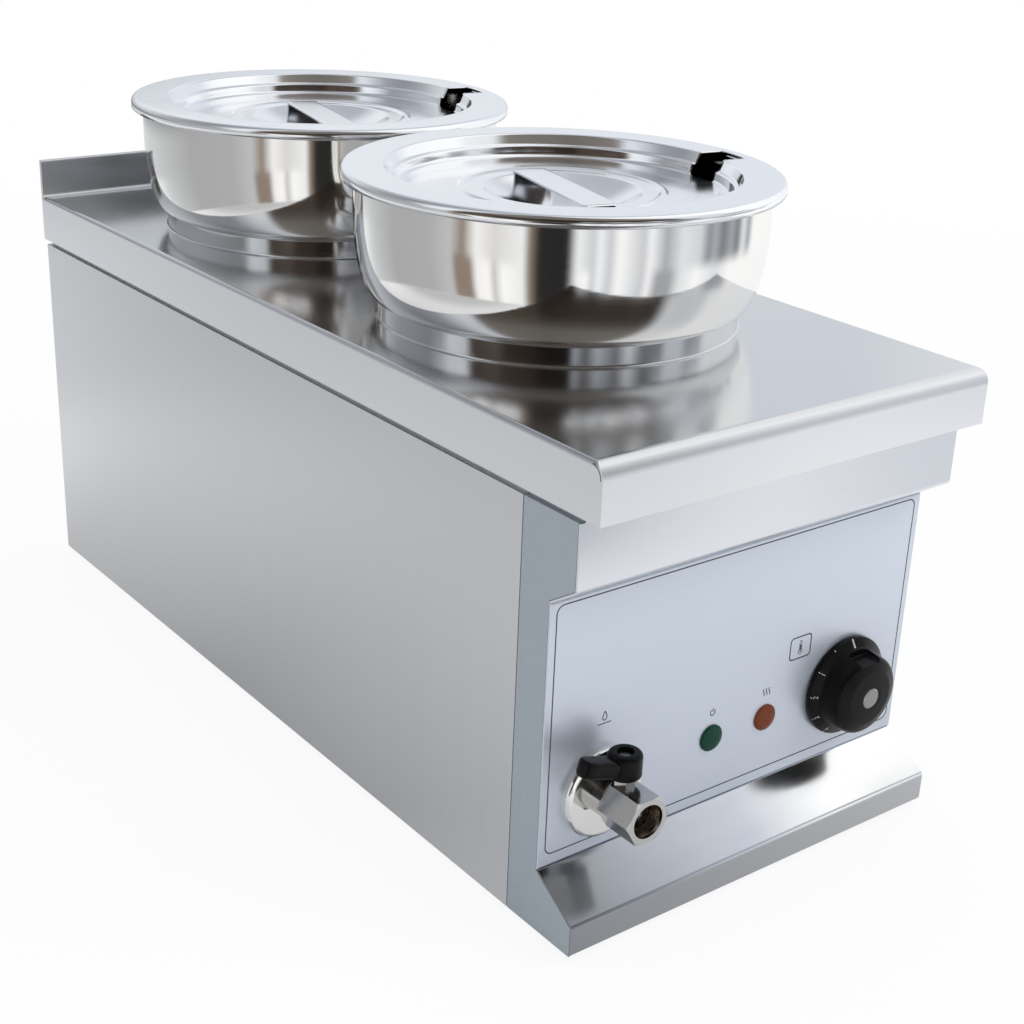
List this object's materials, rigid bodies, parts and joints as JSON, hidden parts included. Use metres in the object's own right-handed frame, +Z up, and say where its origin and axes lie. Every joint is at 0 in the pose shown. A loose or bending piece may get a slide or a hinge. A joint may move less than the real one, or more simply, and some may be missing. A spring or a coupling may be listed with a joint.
{
  "type": "two-pot wet-well bain marie",
  "caption": "Counter-top stainless steel bain marie with lift-out round pots, sunk lids with ladle slots, a thermostat dial, pilot lamps and a front drain valve.",
  "frame": {"origin": "on the counter, under the middle of the worktop", "axes": "+X to the right and -Y towards the person who uses it, +Z up"},
  "size_m": [0.265, 0.6196, 0.3522],
  "materials": {
    "polished_stainless": "mirror polished stainless steel",
    "lid_stainless": "bright satin stainless steel",
    "worktop_stainless": "fine brushed stainless steel",
    "casing_stainless": "satin stainless steel",
    "cheek_steel": "blue-grey coated steel",
    "panel_stainless": "satin stainless steel with a printed border",
    "inner_stainless": "plain stainless steel",
    "galvanised": "zinc-coated steel",
    "plated_brass": "nickel-plated brass",
    "brass": "plain brass",
    "element_alloy": "oxidised nickel alloy sheath",
    "copper": "bare copper",
    "black_plastic": "black moulded thermoset",
    "white_plastic": "white nylon and PTFE",
    "rubber": "black rubber",
    "green_lens": "translucent green lens",
    "orange_lens": "translucent orange lens"
  },
  "bodies": {
    "cabinet": {"worktop": "worktop_stainless", "worktop_nuts": "galvanised", "left_side": "casing_stainless", "right_side": "casing_stainless", "back_panel": "casing_stainless", "left_cheek": "cheek_steel", "right_cheek": "cheek_steel", "base_plate": "galvanised", "base_screws": "galvanised", "rubber_feet": "rubber", "foot_screws": "galvanised", "front_header": "casing_stainless", "control_panel": "panel_stainless", "kick_toe": "casing_stainless", "water_tank": "inner_stainless", "heating_element": "element_alloy", "heater_nuts": "brass", "heater_clips": "inner_stainless", "limit_thermostat": "white_plastic", "drain_pipe": "inner_stainless", "valve_body": "plated_brass", "valve_outlet": "plated_brass", "valve_seats": "white_plastic", "valve_gland_nut": "plated_brass", "valve_escutcheon": "polished_stainless", "valve_locknut": "plated_brass", "thermostat_body": "white_plastic", "thermostat_bulb": "copper", "bulb_clip": "inner_stainless", "green_lens": "green_lens", "orange_lens": "orange_lens", "lamp_holders": "black_plastic", "lamp_clips": "galvanised", "terminal_block": "white_plastic", "terminal_screws": "galvanised", "cable_gland": "black_plastic", "gland_nut": "black_plastic", "earth_stud": "brass", "earth_nut": "brass"},
    "lever": {"valve_lever": "black_plastic", "lever_screw": "galvanised", "valve_stem": "plated_brass", "valve_ball": "plated_brass"},
    "knob": {"dial_knob": "black_plastic", "knob_cap": "polished_stainless", "thermostat_shaft": "inner_stainless"},
    "front_pot_body": {"front_pot": "polished_stainless"},
    "back_pot_body": {"back_pot": "polished_stainless"},
    "front_lid_body": {"front_lid": "lid_stainless", "front_lid_strap": "lid_stainless"},
    "back_lid_body": {"back_lid": "lid_stainless", "back_lid_strap": "lid_stainless"}
  },
  "joints": [
    {"name": "lever_turn", "type": "hinge", "parent": "cabinet", "child": "lever", "pos_m": [-0.0935, -0.2898, 0.096], "axis": [0, 0, 1], "range_deg": [0, 90]},
    {"name": "knob_turn", "type": "hinge", "parent": "cabinet", "child": "knob", "pos_m": [0.0843, -0.2823, 0.0827], "axis": [0, 1, 0], "range_deg": [0, 270]},
    {"name": "front_pot_lift", "type": "slide", "parent": "cabinet", "child": "front_pot_body", "axis": [0, 0, 1], "range_m": [0, 0.2]},
    {"name": "back_pot_lift", "type": "slide", "parent": "cabinet", "child": "back_pot_body", "axis": [0, 0, 1], "range_m": [0, 0.2]},
    {"name": "front_lid_lift", "type": "slide", "parent": "front_pot_body", "child": "front_lid_body", "axis": [0, 0, 1], "range_m": [0, 0.12]},
    {"name": "back_lid_lift", "type": "slide", "parent": "back_pot_body", "child": "back_lid_body", "axis": [0, 0, 1], "range_m": [0, 0.12]}
  ]
}
